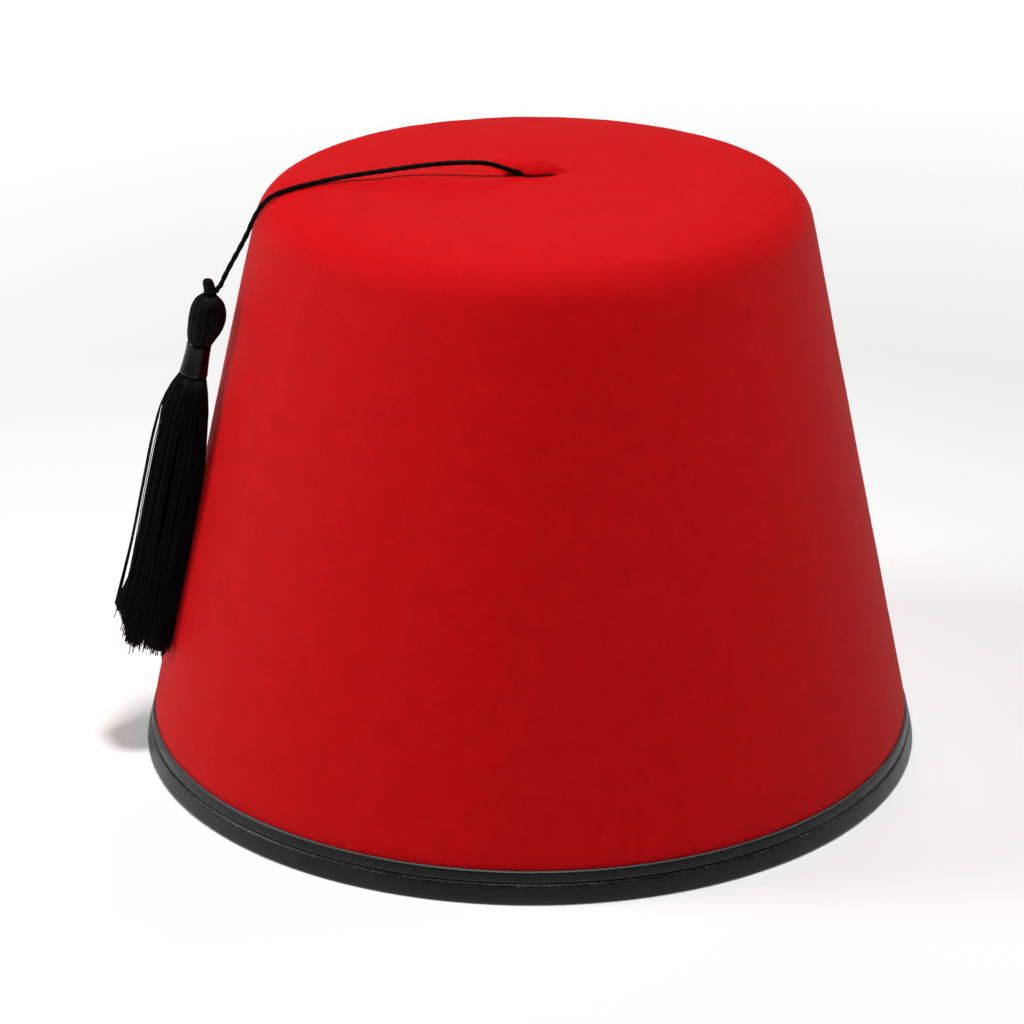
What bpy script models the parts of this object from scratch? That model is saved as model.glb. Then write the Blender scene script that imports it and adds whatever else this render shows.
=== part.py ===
"""Felt fez with a bound rim, and a tassel on a cord that comes out of a slit in the middle of its top.

Metres, +Z up. The origin is the middle of the rim, on the surface that the rim rests on. The hat is seen
from -Y, and its tassel hangs on the -X side, turned a little towards -Y.
"""

import math

import bmesh
import bpy
from mathutils import Matrix, Vector

MM = 0.001

# The felt cone: straight walls up to a rounded shoulder, and a low domed top
FOOT_RADIUS = 98.2 * MM  # where the line of the wall meets the ground
CORNER_RADIUS = 66.5 * MM  # where the lines of the wall and of the top would meet
CORNER_HEIGHT = 143.1 * MM
SHOULDER_ROUND = 9.3 * MM
DOME_SLOPE = 0.15  # of the top where it reaches the shoulder
FELT = 2.4 * MM
LEAN = 0.8 * MM  # how far the top stands over towards +X
HOLLOW_AT = (-12 * MM, -16 * MM)  # shallow dent in the top, in front of the slit
HOLLOW_RADIUS = 22 * MM
HOLLOW_DEPTH = 0.9 * MM
SIDES = 64

# The leather bands around the foot of the felt
BAND_TOP = 7.9 * MM
SEAM_HEIGHT = 5.07 * MM
RECESS = 1.2 * MM  # how far the felt steps in behind the bands
BAND_BULGE = 0.15 * MM  # how far the bands stand out from the line of the wall
BINDING = 0.9 * MM
BINDING_INSIDE = 5.0 * MM  # height of the leg of the binding inside the hat
BINDING_ROUND = 0.55 * MM
BAND_ROUND = 0.5 * MM
FOOT_CHAMFER = 0.3 * MM
GAP = 0.3 * MM

# The raised lip of felt over the slit
LIP_CENTRE = (-1.5 * MM, 3.7 * MM)
LIP_HALF = (10.8 * MM, 4.5 * MM, 3.7 * MM)
LIP_SUNK = 0.3 * MM  # how far the middle of the dome that it is cut from lies below the top
LIP_TURN = math.radians(-24)
LIP_MOUTH = (-6.3 * MM, 2.2 * MM, 148.5 * MM)  # on the undercut where the lip is open and the cord comes out
LIP_MOUTH_FACING = (-0.50, -0.256, -0.827)
SLIT_CENTRE = (2.6 * MM, -1.4 * MM)
SLIT_HALF = (6.6 * MM, 3.8 * MM, 0.5 * MM)
SLIT_RISE = 0.35 * MM  # middle of the slit above the top

# The cord, in the upright plane that holds the tassel
TASSEL_TURN = math.radians(8)  # of that plane from -X towards -Y
CORD = 1.25 * MM
CORD_SPACING = 2.8 * MM
CHANNEL = 1.95 * MM  # bore of the way that the cord takes through the felt
CHANNEL_START = (-7.2, 139.6)  # out and up in mm, clear under the felt
CHANNEL_ROWS = 11  # of the route below, as far as the cord is near the lip
KNOT_RADIUS = 2.0 * MM

# out: distance from the hat's axis, up: height, in mm. Starts at the knot under the top
CORD_ROUTE = (
    # out, up
    (-3.6, 143.6),
    (-2.7, 144.6),
    (-1.5, 145.6),
    (0.0, 146.4),
    (1.6, 147.05),
    (3.2, 147.7),
    (4.9, 148.4),
    (6.9, 149.2),
    (9.3, 150.05),
    (12.0, 150.6),
    (15.8, 150.85),
    (19.5, 150.9),
    (26.1, 150.6),
    (36.0, 149.6),
    (46.0, 148.45),
    (53.5, 147.15),
    (58.4, 146.05),
    (62.6, 144.55),
    (65.3, 142.35),
    (67.3, 139.3),
    (69.0, 135.6),
    (70.9, 132.0),
    (72.9, 128.45),
    (74.7, 125.1),
    (76.15, 122.05),
)

# The tassel, along a straight line that runs down the wall
TASSEL_HEAD = (78.5 * MM, 120.3 * MM)  # out and up of the top of its head
TASSEL_TILT = math.radians(11.9)
LOCKS = 13
POINTS_PER_LOCK = 5
WALL_CLEARANCE = 0.45 * MM

# along: distance down from the top of the head. outer, inner and side: half sizes of the section away from
# the hat, towards it and across. groove: depth of the grooves between locks, as a share of the half size
TASSEL_SECTIONS = (
    # along, outer, inner, side, groove
    (0.5, 1.5, 1.6, 1.7, 0.0),
    (1.4, 2.3, 2.6, 2.7, 0.02),
    (3.2, 3.5, 4.0, 4.0, 0.03),
    (5.8, 4.1, 4.7, 4.7, 0.04),
    (8.6, 3.9, 4.3, 4.5, 0.04),
    (10.6, 3.5, 3.3, 3.7, 0.03),
    (11.9, 2.8, 1.9, 2.6, 0.0),
    (21.1, 3.3, 2.1, 2.9, 0.0),
    (23.3, 5.1, 3.3, 4.4, 0.06),
    (28.8, 6.9, 4.7, 6.0, 0.10),
    (36.0, 7.7, 5.6, 7.0, 0.13),
    (50.0, 8.0, 6.9, 7.8, 0.16),
    (66.0, 8.2, 7.2, 8.2, 0.19),
    (80.0, 8.8, 7.1, 8.6, 0.22),
)
TIP_OUTER = 87.0 * MM  # where the locks end, on the side away from the hat
TIP_INNER = 94.5 * MM
TIP_UNEVEN = 1.3 * MM
TIP_HALF = (9.3 * MM, 7.0 * MM, 8.9 * MM)  # outer, inner and side
TIP_GROOVE = 0.25
TIP_HOLLOW = 0.55  # share of that size where the underside has risen
TIP_RISE = 1.5 * MM

# The wrap around the tassel's neck, the cut loop on its head and the ring that ties the cord to the loop
WRAP_SECTIONS = (
    # along, outer, inner, side
    (12.5, 3.62, 2.72, 3.4),
    (16.7, 3.85, 2.85, 3.55),
    (20.8, 4.1, 2.92, 3.7),
)
WRAP = 0.45 * MM
LOOP_FOOT = (78.45 * MM, 120.55 * MM)
LOOP_HEIGHT = 3.7 * MM
LOOP_RADIUS = 1.15 * MM
TIE_CENTRE = (78.42 * MM, 121.4 * MM)
TIE_RADIUS = 1.9 * MM
TIE_WIRE = 0.45 * MM

COLOURS = {
    # name: base colour, roughness, sheen
    "felt": ((0.60, 0.012, 0.016, 1), 0.85, 0.4),
    "leather": ((0.012, 0.012, 0.013, 1), 0.45, 0.0),
    "yarn": ((0.004, 0.004, 0.005, 1), 0.6, 0.1),
    "satin": ((0.02, 0.02, 0.021, 1), 0.35, 0.1),
}


def clear_scene():
    for old in list(bpy.data.objects):
        bpy.data.objects.remove(old, do_unlink=True)


def collection(name, shown=True):
    made = bpy.data.collections.new(name)
    bpy.context.scene.collection.children.link(made)
    made.hide_render = not shown
    return made


def material(name):
    colour, roughness, sheen = COLOURS[name]
    made = bpy.data.materials.new(name)
    made.use_nodes = True
    shader = made.node_tree.nodes["Principled BSDF"]
    shader.inputs["Base Color"].default_value = colour
    shader.inputs["Roughness"].default_value = roughness
    shader.inputs["Sheen Weight"].default_value = sheen
    return made


def add_object(name, data, finish, where):
    made = bpy.data.objects.new(name, data)
    if finish:
        data.materials.append(finish)
    where.objects.link(made)
    return made


def last_primitive(name, finish, where):
    """The primitive that was added last, named and moved to its collection."""
    made = bpy.context.object
    made.name = name
    for old in made.users_collection:
        old.objects.unlink(made)
    where.objects.link(made)
    if finish:
        made.data.materials.append(finish)
    return made


def smooth(obj, sharp_degrees=40):
    obj.data.shade_smooth()
    obj.data.set_sharp_from_angle(angle=math.radians(sharp_degrees))


def evaluated_mesh(obj):
    """A copy of the object's mesh with its modifiers, or of the mesh that its curve makes."""
    bpy.context.view_layer.update()
    graph = bpy.context.evaluated_depsgraph_get()
    return bpy.data.meshes.new_from_object(obj.evaluated_get(graph))


def as_mesh_object(obj):
    """The object again as a plain mesh, with its modifiers applied and its loose ends welded."""
    mesh = evaluated_mesh(obj)
    work = bmesh.new()
    work.from_mesh(mesh)
    bmesh.ops.remove_doubles(work, verts=work.verts, dist=1e-6)
    work.to_mesh(mesh)
    work.free()
    name, place, where = obj.name, obj.matrix_world.copy(), obj.users_collection[0]
    bpy.data.objects.remove(obj, do_unlink=True)
    made = add_object(name, mesh, None, where)
    made.matrix_world = place
    return made


def make_cutter(obj):
    obj.hide_render = True
    obj.display_type = "WIRE"
    return obj


def boolean(obj, other, operation):
    modifier = obj.modifiers.new(f"{operation.lower()} {other.name}", "BOOLEAN")
    modifier.operation = operation
    modifier.object = other
    modifier.solver = "EXACT"


def turned(name, profile, closed, finish, where):
    """Turns a profile of (radius, height) points around the Z axis. It runs down the outer side first."""
    mesh = bpy.data.meshes.new(name)
    count = len(profile)
    edges = [(i, (i + 1) % count) for i in range(count if closed else count - 1)]
    mesh.from_pydata([(radius, 0, height) for radius, height in profile], edges, [])
    made = add_object(name, mesh, finish, where)
    screw = made.modifiers.new("turn", "SCREW")
    screw.steps = screw.render_steps = SIDES
    screw.use_merge_vertices = True
    screw.merge_threshold = 1e-6
    return made


def loft(name, rings, finish, where, closed=True):
    """Skins rings of equally many points. If closed, each end comes together in its ring's middle."""
    work = bmesh.new()
    skins = [[work.verts.new(point) for point in ring] for ring in rings]
    around = len(skins[0])
    for upper, lower in zip(skins, skins[1:]):
        for i in range(around):
            j = (i + 1) % around
            work.faces.new((upper[i], upper[j], lower[j], lower[i]))
    for ring in (skins[0], skins[-1]) if closed else ():
        middle = work.verts.new(sum((v.co for v in ring), Vector()) / around)
        for i in range(around):
            work.faces.new((ring[i], ring[(i + 1) % around], middle))
    bmesh.ops.recalc_face_normals(work, faces=work.faces)
    mesh = bpy.data.meshes.new(name)
    work.to_mesh(mesh)
    work.free()
    return add_object(name, mesh, finish, where)


def wall_radius(height):
    return FOOT_RADIUS - (FOOT_RADIUS - CORNER_RADIUS) * height / CORNER_HEIGHT


def lean_at(height):
    return LEAN * max(0.0, (height - BAND_TOP) / (CORNER_HEIGHT - BAND_TOP)) ** 1.5


def shoulder():
    """Centre of the shoulder's round, and the directions from it to where the wall and the top begin."""
    wall = Vector((FOOT_RADIUS - CORNER_RADIUS, -CORNER_HEIGHT)).normalized()
    top = Vector((-1, DOME_SLOPE)).normalized()
    corner = Vector((CORNER_RADIUS, CORNER_HEIGHT))
    half = wall.angle(top) / 2
    centre = corner + (wall + top).normalized() * SHOULDER_ROUND / math.sin(half)
    return centre, Vector((-wall.y, wall.x)), Vector((top.y, -top.x))


def felt_line():
    """Outer line of the felt from the middle of the top to the bands: (point, outward normal) pairs."""
    centre, wall_normal, top_normal = shoulder()
    edge = centre + top_normal * SHOULDER_ROUND
    line = []
    for share in (0, 0.05, 0.13, 0.25, 0.4, 0.56, 0.72, 0.88):
        rise = DOME_SLOPE * edge.x / 3 * (1 - share**3)
        slope = DOME_SLOPE * share**2
        line.append((Vector((edge.x * share, edge.y + rise)), Vector((slope, 1)).normalized()))
    start = math.atan2(top_normal.y, top_normal.x)
    end = math.atan2(wall_normal.y, wall_normal.x)
    for step in range(7):
        angle = start + (end - start) * step / 6
        normal = Vector((math.cos(angle), math.sin(angle)))
        line.append((centre + normal * SHOULDER_ROUND, normal))
    wall_top = line[-1][0].y
    for share in (0.25, 0.5, 0.75, 1):
        height = wall_top + (BAND_TOP + GAP - wall_top) * share
        line.append((Vector((wall_radius(height), height)), wall_normal))
    return line


def hollow_at(x, y):
    away = math.hypot(x - HOLLOW_AT[0], y - HOLLOW_AT[1]) / HOLLOW_RADIUS
    return HOLLOW_DEPTH * (1 - away**2) ** 2 if away < 1 else 0.0


def shape_felt(mesh):
    """Leans the turned felt over and presses the dent into its top."""
    for vert in mesh.vertices:
        height = vert.co.z
        vert.co.x += lean_at(height)
        if height > CORNER_HEIGHT - FELT:
            vert.co.z -= hollow_at(vert.co.x, vert.co.y)


def top_height():
    centre, _, top_normal = shoulder()
    edge = centre + top_normal * SHOULDER_ROUND
    return edge.y + DOME_SLOPE * edge.x / 3


def make_lip(where):
    """The felt raised over the slit: half of a long low dome, cut away from below where the cord comes out."""
    bpy.ops.mesh.primitive_uv_sphere_add(segments=36, ring_count=18, radius=1)
    lip = last_primitive("lip", None, where)
    place = Matrix.Translation((LIP_CENTRE[0] + LEAN, LIP_CENTRE[1], top_height() - LIP_SUNK))
    lip.data.transform(place @ Matrix.Rotation(LIP_TURN, 4, "Z") @ Matrix.Diagonal((*LIP_HALF, 1)))
    work = bmesh.new()
    work.from_mesh(lip.data)
    for point, normal in (
        (LIP_MOUTH, LIP_MOUTH_FACING),
        ((0, 0, top_height() - FELT / 2), (0, 0, -1)),
    ):
        everything = work.verts[:] + work.edges[:] + work.faces[:]
        cut = bmesh.ops.bisect_plane(work, geom=everything, plane_co=point, plane_no=normal, clear_outer=True)
        rim = [piece for piece in cut["geom_cut"] if isinstance(piece, bmesh.types.BMEdge)]
        bmesh.ops.contextual_create(work, geom=rim)
    bmesh.ops.recalc_face_normals(work, faces=work.faces)
    work.to_mesh(lip.data)
    work.free()
    return make_cutter(lip)


def make_slit(where):
    bpy.ops.mesh.primitive_uv_sphere_add(segments=20, ring_count=8, radius=1)
    slit = last_primitive("slit", None, where)
    place = Matrix.Translation((SLIT_CENTRE[0] + LEAN, SLIT_CENTRE[1], top_height() + SLIT_RISE))
    slit.data.transform(place @ Matrix.Rotation(LIP_TURN, 4, "Z") @ Matrix.Diagonal((*SLIT_HALF, 1)))
    return make_cutter(slit)


def tassel_point(out, up, across=0.0):
    """A place in the tassel's plane, or beside it: across runs from it towards -Y."""
    cos, sin = math.cos(TASSEL_TURN), math.sin(TASSEL_TURN)
    return Vector((-out * cos + across * sin, -out * sin - across * cos, up))


def smooth_route(points, spacing):
    """Points about this far apart on a smooth curve through the given ones."""
    knots = [Vector(point) for point in points]
    ends = [knots[0] * 2 - knots[1], *knots, knots[-1] * 2 - knots[-2]]
    fine = []
    for before, start, end, after in zip(ends, ends[1:], ends[2:], ends[3:]):
        pull = (end - start).length
        leave = (end - before).normalized() * pull
        arrive = (after - start).normalized() * pull
        for step in range(12):
            t = step / 12
            fine.append(
                start * (2 * t**3 - 3 * t**2 + 1)
                + leave * (t**3 - 2 * t**2 + t)
                + end * (3 * t**2 - 2 * t**3)
                + arrive * (t**3 - t**2)
            )
    fine.append(knots[-1])
    lengths = [0.0]
    for a, b in zip(fine, fine[1:]):
        lengths.append(lengths[-1] + (b - a).length)
    count = max(2, round(lengths[-1] / spacing))
    route = []
    for i in range(count + 1):
        wanted = lengths[-1] * i / count
        k = max(1, next(n for n, so_far in enumerate(lengths) if so_far >= wanted - 1e-12))
        share = (wanted - lengths[k - 1]) / (lengths[k] - lengths[k - 1])
        route.append(fine[k - 1].lerp(fine[k], share))
    return route


def tube(name, points, diameter, finish, where):
    curve = bpy.data.curves.new(name, "CURVE")
    curve.dimensions = "3D"
    curve.bevel_depth = diameter / 2
    curve.bevel_resolution = 2
    curve.use_fill_caps = True
    spline = curve.splines.new("POLY")
    spline.points.add(len(points) - 1)
    for slot, point in zip(spline.points, points):
        slot.co = (*point, 1)
    return add_object(name, curve, finish, where)


def cord_points(rows, spacing):
    return smooth_route([tassel_point(out * MM, up * MM) for out, up in rows], spacing)


def make_crown(parts, cutters, finish):
    outer = [point for point, _ in felt_line()]
    inner = [point - normal * FELT for point, normal in felt_line()[::2]]
    foot = BINDING + GAP
    step = outer[-1].y
    recess = [Vector((wall_radius(height) - RECESS, height)) for height in (step, foot)]
    inside_foot = Vector((wall_radius(foot) - FELT, foot))
    inner[0] = Vector((0, inner[0].y))
    profile = [*outer, *recess, inside_foot, *reversed(inner)]
    crown = as_mesh_object(turned("crown", profile, False, None, parts))
    crown.data.materials.append(finish)
    shape_felt(crown.data)
    boolean(crown, make_lip(cutters), "UNION")
    boolean(crown, make_slit(cutters), "DIFFERENCE")
    rows = (CHANNEL_START, *CORD_ROUTE[:CHANNEL_ROWS])
    channel = tube("cord_channel", cord_points(rows, CORD_SPACING / 2), CHANNEL, None, cutters)
    boolean(crown, make_cutter(as_mesh_object(channel)), "DIFFERENCE")
    smooth(crown)
    return crown


def roll_line(top, bottom, corner, steps=8):
    """Outer face of a band from top to bottom: the wall's line, bulged in the middle and rounded at the ends."""
    line = []
    for i in range(steps + 1):
        height = top + (bottom - top) * (1 - math.cos(math.pi * i / steps)) / 2
        near = min(top - height, height - bottom)
        round_in = corner * (1 - math.sqrt(max(0.0, 1 - (1 - min(1.0, near / corner)) ** 2)))
        bulge = BAND_BULGE * math.sin(math.pi * i / steps)
        line.append((wall_radius(height) + bulge - round_in, height))
    return line


def make_rim_binding(parts, finish):
    top = SEAM_HEIGHT - GAP / 2
    outer_leg = RECESS - GAP
    inner_leg = FELT + GAP
    profile = [
        *roll_line(top, 0.0, BINDING_ROUND),
        (wall_radius(0) - inner_leg - BINDING + FOOT_CHAMFER, 0.0),
        (wall_radius(0) - inner_leg - BINDING, FOOT_CHAMFER),
        (wall_radius(BINDING_INSIDE) - inner_leg - BINDING, BINDING_INSIDE),
        (wall_radius(BINDING_INSIDE) - inner_leg, BINDING_INSIDE),
        (wall_radius(BINDING) - inner_leg, BINDING),
        (wall_radius(BINDING) - outer_leg, BINDING),
        (wall_radius(top) - outer_leg, top),
    ]
    binding = turned("rim_binding", profile, True, finish, parts)
    smooth(binding)
    return binding


def make_upper_band(parts, finish):
    bottom, top = SEAM_HEIGHT + GAP / 2, BAND_TOP
    leg = RECESS - GAP
    profile = [
        *roll_line(top, bottom, BAND_ROUND, steps=6),
        (wall_radius(bottom) - leg, bottom),
        (wall_radius(top) - leg, top),
    ]
    band = turned("upper_band", profile, True, finish, parts)
    smooth(band)
    return band


def make_inner_knot(parts, finish):
    end, after = (tassel_point(out * MM, up * MM) for out, up in CORD_ROUTE[:2])
    bpy.ops.mesh.primitive_uv_sphere_add(segments=14, ring_count=8, radius=KNOT_RADIUS)
    knot = last_primitive("inner_knot", finish, parts)
    knot.location = end + (end - after).normalized() * (KNOT_RADIUS + GAP)
    smooth(knot)
    return knot


def along_tassel(along, outward, across):
    """A place on the tassel: along from the top of its head, outward from the hat, and across."""
    sin, cos = math.sin(TASSEL_TILT), math.cos(TASSEL_TILT)
    out = TASSEL_HEAD[0] + along * sin + outward * cos
    up = TASSEL_HEAD[1] - along * cos + outward * sin
    return tassel_point(out, up, across)


def held_off_wall(point):
    """The point, moved straight out if it is closer to the felt than the tassel lies."""
    centre = Vector((lean_at(point.z), 0))
    flat = point.xy - centre
    least = wall_radius(point.z) + WALL_CLEARANCE
    if flat.length < least:
        flat *= least / flat.length
    return Vector((*(centre + flat), point.z))


def section(along_at, outer, inner, side, groove=0.0, points=24):
    """One closed ring of the tassel, grooved between its locks. along_at gives its place at each angle."""
    ring = []
    for i in range(points):
        angle = math.tau * i / points
        dip = groove * (0.5 + 0.5 * math.cos(LOCKS * angle)) ** 2
        outward = (outer if math.cos(angle) > 0 else inner) * math.cos(angle) * (1 - dip)
        across = side * math.sin(angle) * (1 - dip)
        ring.append(held_off_wall(along_tassel(along_at(angle), outward, across)))
    return ring


def tip_length(angle):
    """How far down the lock at this angle ends: less on the outer side, and each a little differently."""
    lock = math.floor(angle / math.tau * LOCKS + 0.5)
    share = 0.5 - 0.5 * math.cos(angle)
    return TIP_OUTER + (TIP_INNER - TIP_OUTER) * share + TIP_UNEVEN * math.sin(2.4 * lock)


def make_tassel(parts, finish):
    around = LOCKS * POINTS_PER_LOCK
    rings = []
    for along, *half, groove in TASSEL_SECTIONS:
        rings.append(section(lambda _: along * MM, *(size * MM for size in half), groove, around))
    for share, rise in ((1.0, 0.0), (TIP_HOLLOW, TIP_RISE)):
        half = (size * share for size in TIP_HALF)
        rings.append(section(lambda angle: tip_length(angle) - rise, *half, TIP_GROOVE, around))
    tassel = loft("tassel", rings, finish, parts)
    smooth(tassel, 60)
    return tassel


def make_tassel_wrap(parts, finish):
    rings = []
    for along, *half in WRAP_SECTIONS:
        rings.append(section(lambda _: along * MM, *(size * MM for size in half)))
    wrap = loft("tassel_wrap", rings, finish, parts, closed=False)
    wall = wrap.modifiers.new("thickness", "SOLIDIFY")
    wall.thickness = WRAP
    wall.offset = -1
    smooth(wrap)
    return wrap


def make_tassel_loop(parts, finish):
    bpy.ops.mesh.primitive_cylinder_add(vertices=14, radius=LOOP_RADIUS, depth=LOOP_HEIGHT)
    loop = last_primitive("tassel_loop", finish, parts)
    loop.location = tassel_point(LOOP_FOOT[0], LOOP_FOOT[1] + LOOP_HEIGHT / 2)
    edge = loop.modifiers.new("rounded ends", "BEVEL")
    edge.width = 0.5 * MM
    edge.segments = 2
    smooth(loop)
    return loop


def make_tassel_tie(parts, finish):
    bpy.ops.mesh.primitive_torus_add(
        major_segments=20, minor_segments=8, major_radius=TIE_RADIUS, minor_radius=TIE_WIRE
    )
    tie = last_primitive("tassel_tie", finish, parts)
    tie.location = tassel_point(*TIE_CENTRE)
    smooth(tie)
    return tie


def main():
    clear_scene()
    parts = collection("fez_hat")
    cutters = collection("fez_cutters", shown=False)
    felt, leather, yarn, satin = (material(name) for name in ("felt", "leather", "yarn", "satin"))
    make_crown(parts, cutters, felt)
    make_rim_binding(parts, leather)
    make_upper_band(parts, leather)
    make_inner_knot(parts, yarn)
    tube("cord", cord_points(CORD_ROUTE, CORD_SPACING), CORD, yarn, parts)
    make_tassel_loop(parts, yarn)
    make_tassel_tie(parts, yarn)
    make_tassel(parts, yarn)
    make_tassel_wrap(parts, satin)


main()
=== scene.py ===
"""Looks of the felt fez: pressed red felt, two black leather bands, a twisted cord and a yarn tassel.

Metres, +Z up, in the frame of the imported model. Sizes repeat the named sizes of the part's source.
"""

import math
import random

import bmesh
import bpy
import numpy as np
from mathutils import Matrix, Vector, noise


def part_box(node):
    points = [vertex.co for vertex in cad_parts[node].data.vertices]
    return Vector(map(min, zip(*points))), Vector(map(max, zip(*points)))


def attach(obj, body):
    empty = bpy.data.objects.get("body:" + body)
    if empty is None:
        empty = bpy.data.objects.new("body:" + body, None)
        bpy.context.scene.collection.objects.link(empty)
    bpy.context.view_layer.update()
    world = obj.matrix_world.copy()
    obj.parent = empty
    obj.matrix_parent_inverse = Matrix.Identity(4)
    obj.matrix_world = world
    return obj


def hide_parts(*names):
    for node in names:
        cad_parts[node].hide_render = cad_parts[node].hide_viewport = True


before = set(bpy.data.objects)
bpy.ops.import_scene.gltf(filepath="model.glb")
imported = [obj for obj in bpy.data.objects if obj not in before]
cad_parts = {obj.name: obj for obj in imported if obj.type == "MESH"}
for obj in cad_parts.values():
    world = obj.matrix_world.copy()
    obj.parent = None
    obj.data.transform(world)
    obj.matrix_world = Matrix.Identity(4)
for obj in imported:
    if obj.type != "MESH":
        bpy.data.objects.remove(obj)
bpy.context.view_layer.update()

MM = 0.001

# The felt cone
FOOT_RADIUS = 98.2 * MM
CORNER_RADIUS = 66.5 * MM
CORNER_HEIGHT = 143.1 * MM
SHOULDER_ROUND = 9.3 * MM
DOME_SLOPE = 0.15
FELT = 2.4 * MM
LEAN = 0.8 * MM  # how far the top stands off the foot's middle, towards +X
FELT_FOOT = 1.2 * MM
RECESS = 1.2 * MM  # how deep the bands' seat lies in the felt's wall
BAND_TOP = 7.9 * MM
SEAM_HEIGHT = 5.07 * MM
GAP = 0.3 * MM  # between pieces that touch
FELT_SIDES = 192
TOP_STEPS, ROUND_STEPS, WALL_STEPS = 9, 10, 16  # rings of the felt on the top, the shoulder and the wall
TOP_RING = 24 * MM  # the innermost ring of the turned felt, round the finer patch in the middle

# Low relief of the top, in mm. A dent has a negative height
TOP_RELIEF = (
    # x, y, half width, half depth, height
    (-12.0, -16.0, 22.0, 22.0, -0.9),
    (6.0, -30.0, 34.0, 15.0, -0.45),
    (22.0, -7.0, 15.0, 5.0, 0.5),
    (-30.0, 26.0, 24.0, 16.0, -0.35),
    (-30.0, -5.0, 25.0, 14.0, 1.45),
    (38.0, 14.0, 20.0, 24.0, -0.3),
)

# The raised rim of the dished top, that the cord lies on
RIM_AT = 52.0  # mm from the middle
RIM_HALF_WIDTH = 16.0
RIM_SIDES = (
    # angle from +X towards +Y in degrees, height in mm
    (-180, 1.3),
    (-172, 1.6),
    (-150, 1.5),
    (-110, 0.9),
    (-60, 0.75),
    (0, 0.75),
    (40, 0.25),
    (70, -0.15),
    (120, -0.15),
    (160, 0.4),
    (180, 1.3),
)

# Unevenness of the pressed felt, in mm
TOP_UNEVEN = (
    # height, size of its features, seed
    (0.13, 21, 3.0),
    (0.06, 6, 9.0),
)
TOP_CREASES = (
    # height, how often it changes round the hat, length outwards
    (0.07, 9, 30),
    (0.035, 26, 22),
)
CREASES_FROM, CREASES_FULL = 30, 55  # how far from the middle the creases start and are at full height
WALL_SWELL = (0.30, 2.2, 90, 5)  # height, how often it changes round the hat, length upwards, seed
WALL_UNEVEN = (0.10, 14, 17.0)  # height, size of its features, seed
WALL_FADE = 18  # how far above the bands the wall's unevenness reaches its full height
SHOULDER_DOWN, SHOULDER_SPAN = 8, 6  # how far under the corner the top's relief starts, and its fade

# The lip over the slit, in a frame of its own in mm: u along it, v across it to the back, h above the felt
LIP_CENTRE = (-1.5 * MM, 3.7 * MM)
LIP_TURN = math.radians(-24)
LIP_LEFT, LIP_RIGHT = 11.5, 10.0
LIP_DEPTH, LIP_HEIGHT = 5.0, 4.0
LIP_FRONT_END = 8.0  # how far left of the middle the lip's front foot reaches
LIP_BENT = 3.3  # how far back the lip's right tip bends
LIP_SUNK = 0.3  # how deep its foot lies in the felt
LIP_BACK = 7.0  # how far its back slope runs out behind the crest
LIP_GAP = 0.35  # height of the free edge over the felt
LIP_NOTCH = 1.5  # how far the cord in the slit holds the free edge back
LIP_NOTCH_AT, LIP_NOTCH_WIDTH = 0.4, 1.6
SLIT = (-4.0, -2.2, 7.0, 8.5)  # where the slit starts to open, is open, starts to close and is closed
PATCH_HALF = 13 * MM
PATCH_CELLS = 48

# The leather bands
LEATHER = 0.9 * MM
ROLL_INSIDE_TOP = 5.0 * MM
BAND_SIDES = 256
BAND_WAVES = (
    # share, waves round the hat, phase
    (0.6, 7, 1.0),
    (0.5, 17, 2.3),
    (0.35, 41, 0.0),
)

# The cord
TASSEL_TURN = math.radians(8)  # where the cord and tassel hang, from -X towards -Y
CORD = 1.25 * MM
CORD_ROUTE = (
    # out from the hat's axis in the tassel's plane, up, in mm
    (-3.6, 143.6),
    (-2.7, 144.6),
    (-1.5, 145.6),
    (0.0, 146.4),
    (1.6, 147.05),
    (3.2, 147.7),
    (4.9, 148.4),
    (6.9, 149.2),
    (9.3, 150.05),
    (12.0, 150.6),
    (15.8, 150.85),
    (19.5, 150.9),
    (26.1, 150.6),
    (36.0, 149.6),
    (46.0, 148.45),
    (53.5, 147.15),
    (58.4, 146.05),
    (62.6, 144.55),
    (65.3, 142.35),
    (67.3, 139.3),
    (69.0, 135.6),
    (70.9, 132.0),
    (72.9, 128.45),
    (74.7, 125.1),
    (76.15, 122.05),
)
PLY_TURN = 5.6 * MM  # length of one turn of the two plies
YARN_STEP = math.radians(24.5)  # between the yarns of a ply, round the cord

# The tassel
TASSEL_HEAD = (78.5 * MM, 120.3 * MM)
TASSEL_TILT = math.radians(11.9)
TASSEL_SECTIONS = (
    # down from the head's top, then the half sizes away from the wall, towards it and sideways, in mm
    (0.0, 1.2, 1.3, 1.4),
    (0.5, 2.0, 2.1, 2.2),
    (1.4, 3.0, 3.2, 3.2),
    (3.2, 3.85, 4.25, 4.25),
    (5.8, 4.15, 4.75, 4.75),
    (8.6, 4.0, 4.3, 4.5),
    (10.8, 3.75, 3.3, 3.8),
    (12.0, 3.45, 2.75, 3.4),
    (13.2, 2.9, 2.1, 2.8),
    (19.5, 3.2, 2.2, 2.9),
    (21.1, 3.95, 2.75, 3.6),
    (23.3, 5.1, 3.4, 4.5),
    (28.8, 6.9, 4.7, 6.0),
    (36.0, 7.7, 5.6, 7.0),
    (50.0, 8.0, 6.9, 7.8),
    (66.0, 8.2, 7.2, 8.2),
    (80.0, 8.8, 7.1, 8.6),
    (96.0, 9.5, 7.0, 9.0),
)
HEAD_YARNS = 58
HEAD_YARN = 0.56 * MM
HEAD_YARN_SPAN = (0.15 * MM, 12.9 * MM)  # where the head's yarns start, and how far they run
HEAD_CORE_SPAN = (0.1 * MM, 21.5 * MM)  # the same of the plain core under them
HEAD_CORE_SHARE = 0.88  # of the tassel's section
SKIRT_TOP = 20.6 * MM
SKIRT_LOCKS = 17
OUTSIDE_STRANDS = 620
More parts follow.
